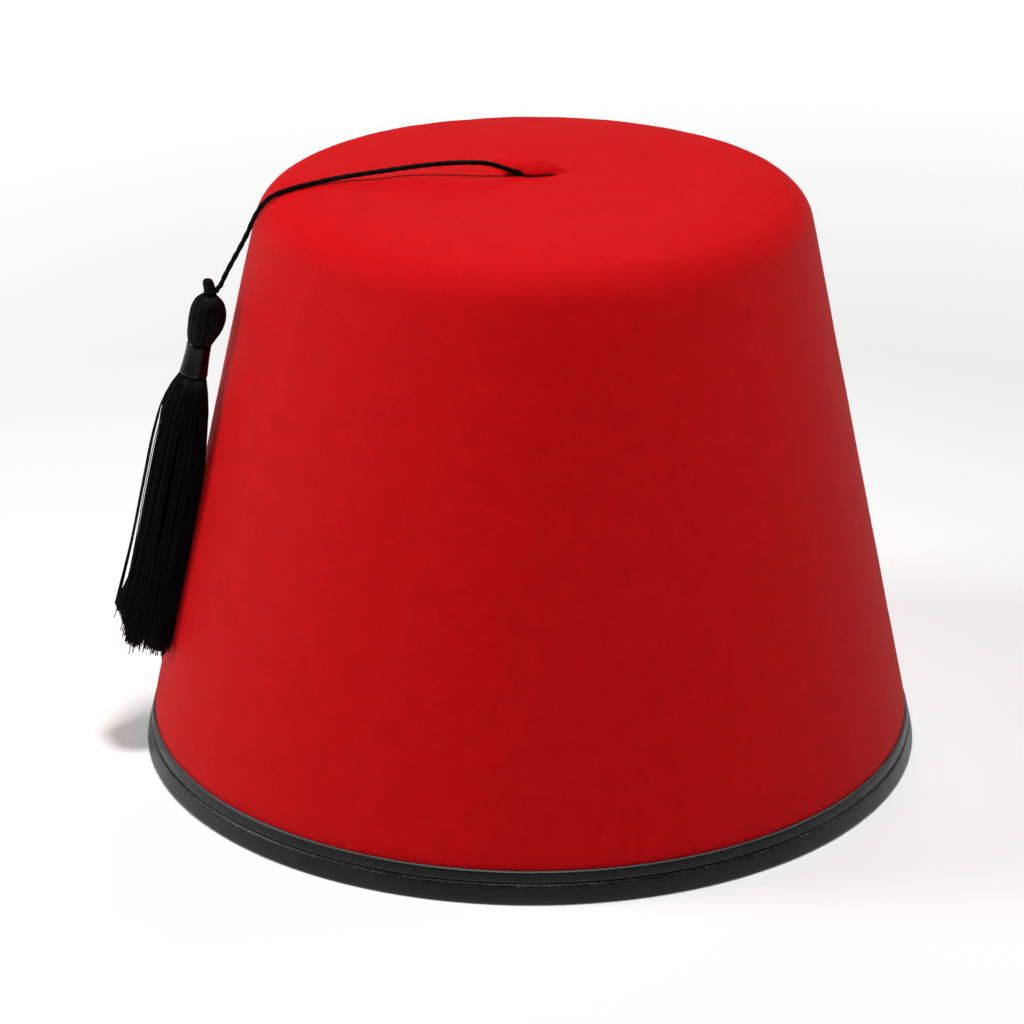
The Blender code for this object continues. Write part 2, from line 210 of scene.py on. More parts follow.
INSIDE_STRANDS = 420
CLEAR_STRANDS = 11  # that hang clear of the rest on the thin side
STRAY_STRANDS = 14  # that stand a little out of the locks
TIP_OUTER = 85.5 * MM  # how far down the strands end away from the wall
TIP_INNER = 92.8 * MM  # and next to it
STRAND = 0.3 * MM
LOCK_UNEVEN = 1.2 * MM
THIN_SIDE = -0.14  # the side, seen on the outline, where a few strands hang clear of the rest
WRAP_TOP = 12.3 * MM
WRAP_BOTTOM = 21.0 * MM
WRAP_SIZE = 3.42  # half size at the top, away from the wall, in mm
WRAP_FLARE = 0.62  # how much more it is at the bottom
WRAP_WAIST = 0.15  # how much less in the middle
WRAP_ROLLED = 0.35  # how much less at the top edge, with 0.6 of it at the bottom edge
WRAP_TO_WALL, WRAP_SIDEWAYS = 0.74, 0.93  # shares of that half size towards the wall and sideways
WRAP_SLANT = 0.35 * MM
WRAP_RIB = 0.012 * MM
WRAP_THICKNESS = 0.42 * MM
LOOP_FOOT = (78.45 * MM, 120.3 * MM)
LOOP_WIDTH = 1.25 * MM
LOOP_HEIGHT = 3.3  # mm
LOOP_YARN = 0.42 * MM
TIE_CENTRE = (78.3 * MM, 121.2 * MM)
TIE_RADIUS = 1.5 * MM
TIE_RISE = 0.9 * MM
TIE_TURNS = 1.7
TIE_CORD = 0.75 * MM
NUB_CENTRE = (76.7 * MM, 121.5 * MM)

# The camera that the photo's ellipses give
CAMERA_TILT = math.radians(22.61)
CAMERA_TARGET = (-4.6 * MM, 20.77 * MM, 49.86 * MM)
CAMERA_DISTANCE = 0.92453
CAMERA_LENS = 125.86

# The studio
LIT_POINT = Vector((0, 0, 80 * MM))
AMBIENT = 0.005
FLOOR_SHADE = 0.95
FLOOR_GLOW = 0.13
FLOOR_GLOW_MORE = 0.88  # added far from the hat
FLOOR_GLOW_FROM, FLOOR_GLOW_FULL = 0.3, 1.05  # metres from the hat where that starts and is full
LIGHTS = (
    # name, degrees round from the camera's side, degrees up, distance, size, power in watts
    ("top_light", 0, 79, 0.7, 0.12, 4.0),
    ("left_light", -90, 25, 1.25, 0.5, 6.9),
    ("right_light", 106, 25, 1.25, 0.6, 2.0),
    ("back_light", 180, 35, 1.25, 0.6, 1.8),
)

# Colours, darkest and lightest
FELT_RED = ((0.55, 0.0003, 0.0022), (0.655, 0.0009, 0.0036))
ROLL_BLACK = ((0.003, 0.0035, 0.003), (0.008, 0.009, 0.008))
STRIP_BLACK = ((0.0025, 0.003, 0.0025), (0.006, 0.0065, 0.006))
YARN_BLACK = ((0.0006, 0.0006, 0.0008), (0.0018, 0.0018, 0.0022))
SATIN_BLACK = ((0.0006, 0.0006, 0.0007), (0.0015, 0.0015, 0.0016))


# ---------------------------------------------------------------- modelling


def deselect_all():
    bpy.ops.object.select_all(action="DESELECT")


def make_active(obj):
    deselect_all()
    obj.select_set(True)
    bpy.context.view_layer.objects.active = obj


def named(name):
    """The object that was added last, under this name."""
    made = bpy.context.object
    made.name = name
    made.data.name = name
    return made


def placed(name, data):
    """A new object of this data, in the scene."""
    made = bpy.data.objects.new(name, data)
    bpy.context.scene.collection.objects.link(made)
    return made


def joined(obj, other):
    make_active(obj)
    other.select_set(True)
    bpy.ops.object.join()
    return obj


def edit(obj):
    make_active(obj)
    bpy.ops.object.mode_set(mode="EDIT")


def leave_edit():
    bpy.ops.object.mode_set(mode="OBJECT")


def select_open_edges():
    """Selects the edges round the holes of the mesh in edit mode."""
    bpy.ops.mesh.select_all(action="DESELECT")
    bpy.ops.mesh.select_mode(type="EDGE")
    bpy.ops.mesh.select_non_manifold(
        extend=False,
        use_wire=False,
        use_multi_face=False,
        use_non_contiguous=False,
        use_verts=False,
    )


def apply_modifiers(obj):
    make_active(obj)
    for modifier in list(obj.modifiers):
        bpy.ops.object.modifier_apply(modifier=modifier.name)


def smooth_by_angle(obj, degrees):
    make_active(obj)
    bpy.ops.object.shade_smooth_by_angle(angle=math.radians(degrees))


def points_of(obj):
    found = np.empty(len(obj.data.vertices) * 3, np.float32)
    obj.data.vertices.foreach_get("co", found)
    return found.reshape(-1, 3).astype(float)


def set_points(obj, points):
    obj.data.vertices.foreach_set("co", np.asarray(points, np.float32).ravel())
    obj.data.update()


def turned(name, line, steps):
    """Extrudes one vertex along a line of (radius, height) points, and spins the line once round."""
    deselect_all()
    bpy.ops.mesh.primitive_plane_add(size=MM)
    made = named(name)
    edit(made)
    bpy.ops.mesh.merge(type="CENTER")
    here = Vector((line[0][0], 0, line[0][1]))
    bpy.ops.transform.translate(value=here)
    for radius, height in line[1:]:
        there = Vector((radius, 0, height))
        bpy.ops.mesh.extrude_vertices_move(TRANSFORM_OT_translate={"value": there - here})
        here = there
    bpy.ops.mesh.select_all(action="SELECT")
    bpy.ops.mesh.spin(steps=steps, angle=math.tau, center=(0, 0, 0), axis=(0, 0, 1))
    bpy.ops.mesh.select_all(action="SELECT")
    bpy.ops.mesh.remove_doubles(threshold=1e-6)
    bpy.ops.mesh.normals_make_consistent(inside=False)
    leave_edit()
    return made


def tubes(name, paths, diameters, sides=4):
    """One mesh of round tubes along paths of points."""
    deselect_all()
    data = bpy.data.curves.new(name, "CURVE")
    data.dimensions = "3D"
    data.bevel_depth = 1.0
    data.bevel_resolution = (sides - 4) // 2
    data.use_fill_caps = True
    for path, diameter in zip(paths, diameters):
        spline = data.splines.new("POLY")
        spline.points.add(len(path) - 1)
        spline.points.foreach_set("co", [c for p in path for c in (*p, 1.0)])
        spline.points.foreach_set("radius", [diameter / 2] * len(path))
    make_active(placed(name, data))
    bpy.ops.object.convert(target="MESH")
    made = bpy.context.object
    made.name = name
    edit(made)
    bpy.ops.mesh.select_all(action="SELECT")
    bpy.ops.mesh.remove_doubles(threshold=1e-6)
    leave_edit()
    bpy.ops.object.shade_smooth()
    return made


def sleeve(name, rings):
    """An open tube through rings of equally many points, extruded ring by ring from a circle."""
    deselect_all()
    bpy.ops.mesh.primitive_circle_add(vertices=len(rings[0]), radius=MM)
    made = named(name)
    edit(made)
    for index, ring in enumerate(rings):
        if index:
            bpy.ops.mesh.extrude_region_move()
        work = bmesh.from_edit_mesh(made.data)
        work.verts.ensure_lookup_table()
        first = len(work.verts) - len(ring)
        for vert, point in zip(sorted(work.verts[first:], key=lambda v: v.index), ring):
            vert.co = point
        bmesh.update_edit_mesh(made.data)
    bpy.ops.mesh.select_all(action="SELECT")
    bpy.ops.mesh.normals_make_consistent(inside=False)
    leave_edit()
    return made


# ---------------------------------------------------------------- the felt's form


def wall_radius(height):
    return FOOT_RADIUS - (FOOT_RADIUS - CORNER_RADIUS) * height / CORNER_HEIGHT


def lean_at(height):
    return LEAN * max(0.0, (height - BAND_TOP) / (CORNER_HEIGHT - BAND_TOP)) ** 1.5


def shoulder():
    """The centre of the shoulder's round, and the directions from it to the wall and to the top."""
    wall = Vector((FOOT_RADIUS - CORNER_RADIUS, -CORNER_HEIGHT)).normalized()
    top = Vector((-1, DOME_SLOPE)).normalized()
    half = wall.angle(top) / 2
    corner = Vector((CORNER_RADIUS, CORNER_HEIGHT))
    centre = corner + (wall + top).normalized() * SHOULDER_ROUND / math.sin(half)
    return centre, Vector((-wall.y, wall.x)), Vector((top.y, -top.x))


ROUND_CENTRE, WALL_NORMAL, TOP_NORMAL = shoulder()
TOP_EDGE = ROUND_CENTRE + TOP_NORMAL * SHOULDER_ROUND


def dome(radius):
    """Height of the felt's top before its relief."""
    return TOP_EDGE.y + DOME_SLOPE * TOP_EDGE.x / 3 * (1 - (radius / TOP_EDGE.x) ** 3)


def felt_line():
    """Outer line of the felt from the patch to the foot: (point, outward normal) pairs."""
    line = []
    for step in range(TOP_STEPS):
        radius = TOP_RING + (TOP_EDGE.x - TOP_RING) * step / TOP_STEPS
        slope = DOME_SLOPE * (radius / TOP_EDGE.x) ** 2
        line.append((Vector((radius, dome(radius))), Vector((slope, 1)).normalized()))
    start = math.atan2(TOP_NORMAL.y, TOP_NORMAL.x)
    end = math.atan2(WALL_NORMAL.y, WALL_NORMAL.x)
    for step in range(ROUND_STEPS + 1):
        angle = start + (end - start) * step / ROUND_STEPS
        normal = Vector((math.cos(angle), math.sin(angle)))
        line.append((ROUND_CENTRE + normal * SHOULDER_ROUND, normal))
    wall_top = line[-1][0].y
    for step in range(1, WALL_STEPS + 1):
        height = wall_top + (BAND_TOP - wall_top) * step / WALL_STEPS
        line.append((Vector((wall_radius(height), height)), WALL_NORMAL))
    return line


def ease(value, start, end):
    """0 before start, 1 past end, and a smooth step between them."""
    t = min(1.0, max(0.0, (value - start) / (end - start)))
    return t * t * (3 - 2 * t)


def lip_section(u, angle):
    """A point on the lip's outer face at u, this far round from its front foot to its crest, in mm."""
    if u < 0:
        plan = max(0.0, 1 - (u / LIP_LEFT) ** 2)
        bent, crest = 0.0, LIP_HEIGHT * plan
        depth = math.hypot(LIP_DEPTH * max(0.0, 1 - (u / LIP_FRONT_END) ** 2), 0.5 * crest)
    else:
        plan = max(0.0, 1 - (u / LIP_RIGHT) ** 2)
        bent, crest = LIP_BENT * (u / LIP_RIGHT) ** 2, LIP_HEIGHT * plan**0.9
        depth = LIP_DEPTH * plan**0.65
    notch = math.exp(-(((u - LIP_NOTCH_AT) / LIP_NOTCH_WIDTH) ** 2))
    depth -= LIP_NOTCH * notch * max(0.0, 1 - angle / 0.9) ** 2
    return bent - depth * math.cos(angle), crest * math.sin(angle) - LIP_SUNK * min(1.0, 3 * plan)


def lip_column(u):
    """Where each row of the patch lies across the lip at u: (v, h) pairs in mm, front to back."""
    rows = PATCH_CELLS
    half = PATCH_HALF / MM
    flat = [(-half + 2 * half * row / rows, 0.0) for row in range(rows + 1)]
    blend = min(ease(u, -LIP_LEFT, 2.6 - LIP_LEFT), ease(u, LIP_RIGHT, LIP_RIGHT - 1.4))
    if blend <= 0:
        return flat
    bent, crest = lip_section(u, math.pi / 2)
    opened = ease(u, SLIT[0], SLIT[1]) * (1 - ease(u, SLIT[2], SLIT[3]))
    sunk = lip_section(u, 0)[1]
    start = math.asin(min(1.0, (LIP_GAP * opened - sunk) / max(crest - sunk, 0.01)))
    front, edge = lip_section(u, start)
    keys = [
        # row of the patch, v, h
        (0, -half, 0.0),
        (9, front - 4.5, 0.0),
        (13, front - 1.6, 0.0),
        (14, front - 0.9, -0.03 * opened),
        (15, front - 0.6 + 0.4 * opened, -0.10 * opened),
        (16, front - 0.4 + 0.9 * opened, -0.28 * opened),
        (17, front - 0.3 + 1.6 * opened, -0.45 * opened),
        (18, front - 0.2 + 2.0 * opened, -0.25 * opened),
        (19, front - 0.12 + 1.6 * opened, edge - 0.05 * opened),
        (20, front - 0.06 + 0.7 * opened, edge - 0.12 * opened),
        (21, front, edge),
    ]
    for step in range(1, 11):
        v, h = lip_section(u, start + (math.pi / 2 - start) * step / 10)
        keys.append((21 + step, v, h))
    back = 1.5 + (LIP_BACK - 1.5) * crest / (LIP_HEIGHT - LIP_SUNK)
    for step in range(1, 11):
        part = step / 10
        keys.append((31 + step, bent + back * part, crest * (0.5 + 0.5 * math.cos(math.pi * part))))
    keys.append((rows, half, 0.0))
    at = [key[0] for key in keys]
    v = np.interp(range(rows + 1), at, [key[1] for key in keys])
    h = np.interp(range(rows + 1), at, [key[2] for key in keys])
    return [
        (flat_v + (lip_v - flat_v) * blend, lip_h * blend)
        for (flat_v, _), lip_v, lip_h in zip(flat, v, h)
    ]


def lip_frame(points):
    """How far along and across the lip the points lie from its middle, in metres."""
    cos, sin = math.cos(LIP_TURN), math.sin(LIP_TURN)
    dx, dy = points[:, 0] - LIP_CENTRE[0], points[:, 1] - LIP_CENTRE[1]
    return dx * cos + dy * sin, -dx * sin + dy * cos


def shape_patch(points, inside):
    """Lifts the lip over the slit out of the patch's grid."""
    cos, sin = math.cos(LIP_TURN), math.sin(LIP_TURN)
    u, v = (distance / MM for distance in lip_frame(points))
    half = PATCH_HALF / MM
    row = np.rint((v + half) / (2 * half) * PATCH_CELLS).astype(int)
    columns = {}
    for index in np.flatnonzero(inside):
        key = round(float(u[index]), 3)
        if key not in columns:
            columns[key] = lip_column(key)
        new_v, h = columns[key][min(max(row[index], 0), PATCH_CELLS)]
        x = LIP_CENTRE[0] + (u[index] * cos - new_v * sin) * MM
        y = LIP_CENTRE[1] + (u[index] * sin + new_v * cos) * MM
        points[index] = (x, y, dome(math.hypot(x - LEAN, y)) + h * MM)


def wander(x, y, z, scale, seed):
    """Smooth noise from about -1 to 1 with features of this size."""
    return noise.noise(Vector((x / scale + seed, y / scale, z / scale)))


def ripple(angle, along, often):
    """Smooth noise from about -1 to 1 that changes this often round the hat, and along it."""
    return noise.noise(Vector((math.cos(angle) * often, math.sin(angle) * often, along)))


def top_share(height):
    """1 on the top, 0 on the wall, and between them on the shoulder."""
    return np.clip((height - CORNER_HEIGHT + SHOULDER_DOWN * MM) / (SHOULDER_SPAN * MM), 0, 1)


def relief(point):
    """How far the felt stands out here, in metres: upwards on the top, and outwards on the wall."""
    x, y, z = point
    radius = math.hypot(x, y)
    angle = math.atan2(y, x)
    on_top = top_share(z)
    height = 0.0
    for cx, cy, half_x, half_y, rise in TOP_RELIEF:
        away = math.hypot((x / MM - cx) / half_x, (y / MM - cy) / half_y)
        if away < 1:
            height += rise * (1 - away**2) ** 2
    for rise, size, seed in TOP_UNEVEN:
        height += rise * wander(x, y, z, size * MM, seed)
    from_rim = abs(radius / MM - RIM_AT) / RIM_HALF_WIDTH
    if from_rim < 1:
        side = np.interp(math.degrees(angle), *zip(*RIM_SIDES))
        height += float(side) * (1 - from_rim**2) ** 2
    near_edge = (radius - CREASES_FROM * MM) / ((CREASES_FULL - CREASES_FROM) * MM)
    creases = 0.0
    for rise, often, length in TOP_CREASES:
        creases += rise * ripple(angle, radius / (length * MM), often)
    height += creases * min(1.0, max(0.0, near_edge))
    rise, often, length, seed = WALL_SWELL
    wall = rise * ripple(angle, z / (length * MM) + seed, often)
    rise, size, seed = WALL_UNEVEN
    wall += rise * wander(x, y, z, size * MM, seed)
    fade = min(1.0, max(0.0, (z - BAND_TOP) / (WALL_FADE * MM)))
    return (height * on_top + wall * (1 - on_top) * fade) * MM


def make_crown():
    """The felt, turned from its outer line round to the middle of its inside, with the patch on top."""
    outer = [point for point, _ in felt_line()]
    inner = [point - normal * FELT for point, normal in felt_line()[::2]]
    foot = [
        (wall_radius(BAND_TOP) - RECESS, BAND_TOP - 0.2 * MM),
        (wall_radius(FELT_FOOT) - RECESS, FELT_FOOT),
        (wall_radius(FELT_FOOT) - FELT, FELT_FOOT),
    ]
    ceiling = [(radius, dome(radius) - FELT) for radius in (TOP_RING / 2, 0)]
    crown = turned("felt_crown", [*outer, *foot, *reversed(inner), *ceiling], FELT_SIDES)
    edit(crown)
    bpy.ops.mesh.select_all(action="DESELECT")
    bpy.ops.mesh.primitive_grid_add(
        x_subdivisions=PATCH_CELLS,
        y_subdivisions=PATCH_CELLS,
        size=2 * PATCH_HALF,
        location=(*LIP_CENTRE, dome(TOP_RING)),
        rotation=(0, 0, LIP_TURN),
    )
    select_open_edges()
    bpy.ops.mesh.bridge_edge_loops(number_cuts=2, interpolation="LINEAR")
    bpy.ops.mesh.select_mode(type="VERT")
    leave_edit()
    points = points_of(crown)
    radii = np.hypot(points[:, 0], points[:, 1])
    upper = points[:, 2] > np.array([dome(radius) for radius in radii]) - FELT / 2
    from_middle = np.abs(lip_frame(points)).max(axis=0)
    lean = np.array([lean_at(z) for z in points[:, 2]])
    in_patch = upper & (from_middle < PATCH_HALF * 1.001) & (radii < TOP_RING)
    bridge = upper & (radii < TOP_RING * 0.999) & ~in_patch
    points[~in_patch, 0] += lean[~in_patch]
    points[bridge, 2] = [dome(math.hypot(x - LEAN, y)) for x, y in points[bridge, :2]]
    shape_patch(points, in_patch)
    set_points(crown, points)
    fine = crown.modifiers.new("finer", "SUBSURF")
    fine.levels = fine.render_levels = 1
    apply_modifiers(crown)
    points = points_of(crown)
    centre = np.array([lean_at(z) for z in points[:, 2]])
    moved = np.array([relief(point) for point in points])
    flat = points[:, :2] - np.stack([centre, np.zeros(len(centre))], 1)
    outward = flat / np.maximum(np.linalg.norm(flat, axis=1), 1e-9)[:, None]
    top = top_share(points[:, 2])
    points[:, 2] += moved * top
    points[:, :2] += outward * (moved * (1 - top))[:, None]
    set_points(crown, points)
    smooth_by_angle(crown, 60)
    return crown


# ---------------------------------------------------------------- leather bands


def band_line(top, bottom, top_round, bottom_round, bulge, steps=12):
    """Outer face of a band from top to bottom, rounded at both ends."""
    line = []
    for i in range(steps + 1):
        height = top + (bottom - top) * (1 - math.cos(math.pi * i / steps)) / 2
        from_top, from_bottom = top - height, height - bottom
        inward = 0.0
        for near, corner in ((from_top, top_round), (from_bottom, bottom_round)):
            if near < corner:
                inward += corner * (1 - math.sqrt(max(0.0, 1 - (1 - near / corner) ** 2)))
        line.append((wall_radius(height) + bulge * math.sin(math.pi * i / steps) - inward, height))
    return line


def make_roll():
    """The leather folded round the felt's edge: outer face, underside and the leg inside the hat."""
    inner_leg = FELT + GAP

    def leg_face(height, rounded=0.0):
        return wall_radius(height) - inner_leg - LEATHER + rounded

    line = band_line(SEAM_HEIGHT, 0.0, 0.55 * MM, 0.6 * MM, 0.2 * MM)
    line += [
        (leg_face(0, 0.35 * MM), 0.0),
        (leg_face(0, 0.08 * MM), 0.12 * MM),
        (leg_face(0), 0.4 * MM),
        (leg_face(ROLL_INSIDE_TOP / 2), ROLL_INSIDE_TOP / 2),
        (leg_face(ROLL_INSIDE_TOP, 0.05 * MM), ROLL_INSIDE_TOP - 0.15 * MM),
        (leg_face(ROLL_INSIDE_TOP, 0.25 * MM), ROLL_INSIDE_TOP),
        (wall_radius(ROLL_INSIDE_TOP) - inner_leg - 0.1 * MM, ROLL_INSIDE_TOP),
        (wall_radius(ROLL_INSIDE_TOP) - inner_leg, ROLL_INSIDE_TOP - 0.2 * MM),
        (wall_radius(LEATHER) - inner_leg, LEATHER),
        (wall_radius(LEATHER) - RECESS + GAP, LEATHER),
        (wall_radius(SEAM_HEIGHT) - RECESS + GAP, SEAM_HEIGHT),
        line[0],
    ]
    return finish_band(turned("leather_roll", line, BAND_SIDES), 0.05)


def make_strip():
    line = band_line(BAND_TOP, SEAM_HEIGHT, 0.28 * MM, 0.5 * MM, 0.1 * MM, steps=10)
    line += [
        (wall_radius(SEAM_HEIGHT) - RECESS + GAP, SEAM_HEIGHT),
        (wall_radius(BAND_TOP) - RECESS + GAP, BAND_TOP),
        line[0],
    ]
    return finish_band(turned("leather_strip", line, BAND_SIDES), 0.035)


def finish_band(band, uneven):
    """Gives the turned band the slight waves of leather drawn round an edge, about this high in mm."""
    points = points_of(band)
    angles = np.arctan2(points[:, 1], points[:, 0])
    waves = sum(share * np.sin(count * angles + phase) for share, count, phase in BAND_WAVES)
    radii = np.hypot(points[:, 0], points[:, 1])
    outside = radii > np.array([wall_radius(z) for z in points[:, 2]]) - 0.7 * MM
    shift = np.where(outside & (points[:, 2] > 0.6 * MM), uneven * MM * waves, 0)
    points[:, 0] += shift * np.cos(angles)
    points[:, 1] += shift * np.sin(angles)
    seam = np.abs(points[:, 2] - SEAM_HEIGHT) < 0.05 * MM
    points[seam, 2] += 0.06 * MM * np.sin(5 * angles[seam] + 0.4)
    set_points(band, points)
    smooth_by_angle(band, 50)
    return band


# ---------------------------------------------------------------- cord and tassel


def tassel_point(out, up, across=0.0):
    """A place in the tassel's plane, or beside it: across runs from it towards -Y."""
    cos, sin = math.cos(TASSEL_TURN), math.sin(TASSEL_TURN)
    return Vector((-out * cos + across * sin, -out * sin - across * cos, up))


def along_tassel(along, outward, across):
    sin, cos = math.sin(TASSEL_TILT), math.cos(TASSEL_TILT)
    out = TASSEL_HEAD[0] + along * sin + outward * cos
    up = TASSEL_HEAD[1] - along * cos + outward * sin
    return tassel_point(out, up, across)


def held_off_wall(point, clearance):
    """The point, moved straight out if it is closer to the felt than this."""
    centre = Vector((lean_at(point.z), 0))
    flat = point.xy - centre
    least = wall_radius(point.z) + clearance
    if flat.length < least:
        flat *= least / flat.length
    return Vector((*(centre + flat), point.z))


def curve_at(t, start, leave, end, arrive):
    """A curve from start to end as t goes from 0 to 1, with these slopes at its ends."""
    return (
        start * (2 * t**3 - 3 * t**2 + 1)
        + leave * (t**3 - 2 * t**2 + t)
        + end * (3 * t**2 - 2 * t**3)
        + arrive * (t**3 - t**2)
    )


def smooth_between(at, knots, values):
    """A smooth curve through the values at these knots."""
    knots, values = np.array(knots), np.array(values)
    slopes = np.gradient(values, knots)
    i = int(np.clip(np.searchsorted(knots, at) - 1, 0, len(knots) - 2))
    width = knots[i + 1] - knots[i]
    t = min(1.0, max(0.0, (at - knots[i]) / width))
    return float(curve_at(t, values[i], slopes[i] * width, values[i + 1], slopes[i + 1] * width))


def half_sizes(along):
    """Outer, inner and side half sizes of the tassel here, in metres."""
    at, *sizes = zip(*TASSEL_SECTIONS)
    return [smooth_between(along / MM, at, size) * MM for size in sizes]


def on_tassel(along, angle, share=1.0, inset=0.0):
    """A place at this share of the tassel's section, inset from it and clear of the felt."""
    outer, inner, side = half_sizes(along)
    outward = ((outer if math.cos(angle) > 0 else inner) - inset) * math.cos(angle)
    sideways = (side - inset) * math.sin(angle)
    return held_off_wall(along_tassel(along, outward * share, sideways * share), GAP)


def smooth_route(points, spacing, steps=16):
    """Points about this far apart on a smooth curve through the given ones."""
    knots = [Vector(point) for point in points]
    ends = [knots[0] * 2 - knots[1], *knots, knots[-1] * 2 - knots[-2]]
    fine = []
    for before, start, end, after in zip(ends, ends[1:], ends[2:], ends[3:]):
        pull = (end - start).length
        leave = (end - before).normalized() * pull
        arrive = (after - start).normalized() * pull
        fine += [curve_at(step / steps, start, leave, end, arrive) for step in range(steps)]
    fine.append(knots[-1])
    lengths = np.concatenate([[0], np.cumsum([(b - a).length for a, b in zip(fine, fine[1:])])])
    count = max(2, round(lengths[-1] / spacing))
    wanted = np.linspace(0, lengths[-1], count + 1)
    columns = [np.interp(wanted, lengths, [point[i] for point in fine]) for i in range(3)]
    return [Vector(place) for place in zip(*columns)]


def wound_round(path, offset, turn, phase):
    """A path that winds round another at this offset, one turn for each length."""
    tangent = (path[1] - path[0]).normalized()
    normal = tangent.orthogonal().normalized()
    gone = 0.0
    wound = []
    for i, here in enumerate(path):
        ahead = path[min(i + 1, len(path) - 1)] - path[max(i - 1, 0)]
        tangent = ahead.normalized()
        normal = (normal - tangent * normal.dot(tangent)).normalized()
        if i:
            gone += (here - path[i - 1]).length
        angle = math.tau * gone / turn + phase
        outward = normal * math.cos(angle) + tangent.cross(normal) * math.sin(angle)
        wound.append(here + outward * offset)
    return wound


def twisted(name, path, diameter, plies=2, yarns=6):
    """A cord of plies pressed flat against each other and twisted, their yarns round a plain core."""
    core, yarn_size = diameter * 0.64, diameter * 0.21
    paths, sizes = [path], [core]
    for ply in range(plies):
        for k in range(yarns):
            across = (k - (yarns - 1) / 2) * YARN_STEP
            offset = diameter * (0.345 + 0.07 * math.cos(across) ** 2)
            paths.append(wound_round(path, offset, PLY_TURN, math.tau * ply / plies + across))
            sizes.append(yarn_size)
    return tubes(name, paths, sizes, 6)


def cord_path(spacing=0.25 * MM):
    return smooth_route([tassel_point(out * MM, up * MM) for out, up in CORD_ROUTE], spacing)


def trefoil(centre, size, turn, steps=89):
    """The line of a simple knot round a centre, turned about Y."""
    cos, sin = math.cos(turn), math.sin(turn)
    points = []
    for step in range(steps + 1):
        t = math.tau * step / steps
        x = math.sin(t) + 2 * math.sin(2 * t)
        y = math.cos(t) - 2 * math.cos(2 * t)
        z = -math.sin(3 * t)
        points.append(centre + Vector((x * cos - z * sin, y, x * sin + z * cos)) * size)
    return points


def make_inner_knot():
    low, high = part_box("inner_knot")
    return twisted("hidden_knot", trefoil((low + high) / 2, 0.43 * MM, 0.6), CORD)


def make_loop():
    """The cut loop on the head: a thick bundle of yarns that rise, bend over and come back."""
    chance = random.Random(5)
    paths = []
    for share in (1.0, 0.6, 0.2):
        count = round(19 * share) + 2
        for k in range(count):
            turn = math.pi * ((k + 0.5) / count - 0.5)
            width = LOOP_WIDTH * share * math.cos(turn)
            across = LOOP_WIDTH * share * math.sin(turn)
            height = LOOP_HEIGHT + 0.25 * math.cos(turn) + 0.1 * (1 - share) + chance.uniform(-0.1, 0.1)
            height *= MM
            path = []
            for step in range(15):
                t = step / 14
                up = height * math.sin(math.pi * t) ** 0.4
                side = math.cos(math.pi * t)
                out = LOOP_FOOT[0] - width * math.copysign(abs(side) ** 0.35, side) + 0.17 * up
                path.append(tassel_point(out, LOOP_FOOT[1] + up, across * (1 + 0.1 * up / height)))
            paths.append(path)
    return tubes("cut_loop", paths, [LOOP_YARN] * len(paths), 6)


def make_tie():
    """The end of the cord, wound round the loop and knotted on the side that the cord comes from."""
    centre = tassel_point(*TIE_CENTRE)
    ring = []
    for step in range(70):
        t = step / 69
        angle = TASSEL_TURN + math.tau * TIE_TURNS * t
        flat = Vector((math.cos(angle), math.sin(angle), 0)) * TIE_RADIUS
        ring.append(centre + flat + Vector((0, 0, (t - 0.5) * TIE_RISE)))
    made = twisted("cord_knot", ring, TIE_CORD)
    nub = twisted("cord_nub", trefoil(tassel_point(*NUB_CENTRE), 0.22 * MM, 1.1), TIE_CORD)
    return joined(made, nub)


def make_head():
    """Yarns that run down over the head and in under the wrap, round a plain core."""
    chance = random.Random(11)
    paths = []
    for k in range(HEAD_YARNS):
        angle = math.tau * (k + chance.uniform(-0.22, 0.22)) / HEAD_YARNS
        twist = chance.uniform(-0.05, 0.05)
        proud = chance.uniform(-0.06, 0.10) * MM
        path = []
        for step in range(25):
            share = step / 24
            along = HEAD_YARN_SPAN[0] + HEAD_YARN_SPAN[1] * share
            path.append(on_tassel(along, angle + twist * share, inset=HEAD_YARN / 2 - proud))
        paths.append(path)
    head = tubes("tassel_head", paths, [HEAD_YARN] * HEAD_YARNS, 8)
    angles = [math.tau * i / 32 for i in range(32)]
    rings = []
    for step in range(22):
        along = HEAD_CORE_SPAN[0] + HEAD_CORE_SPAN[1] * step / 21
        rings.append([on_tassel(along, angle, HEAD_CORE_SHARE, HEAD_YARN * 0.4) for angle in angles])
    core = sleeve("tassel_core", rings)
    edit(core)
    select_open_edges()
    bpy.ops.mesh.edge_face_add()
    bpy.ops.mesh.select_mode(type="VERT")
    leave_edit()
    bpy.ops.object.shade_smooth()
    return joined(head, core)


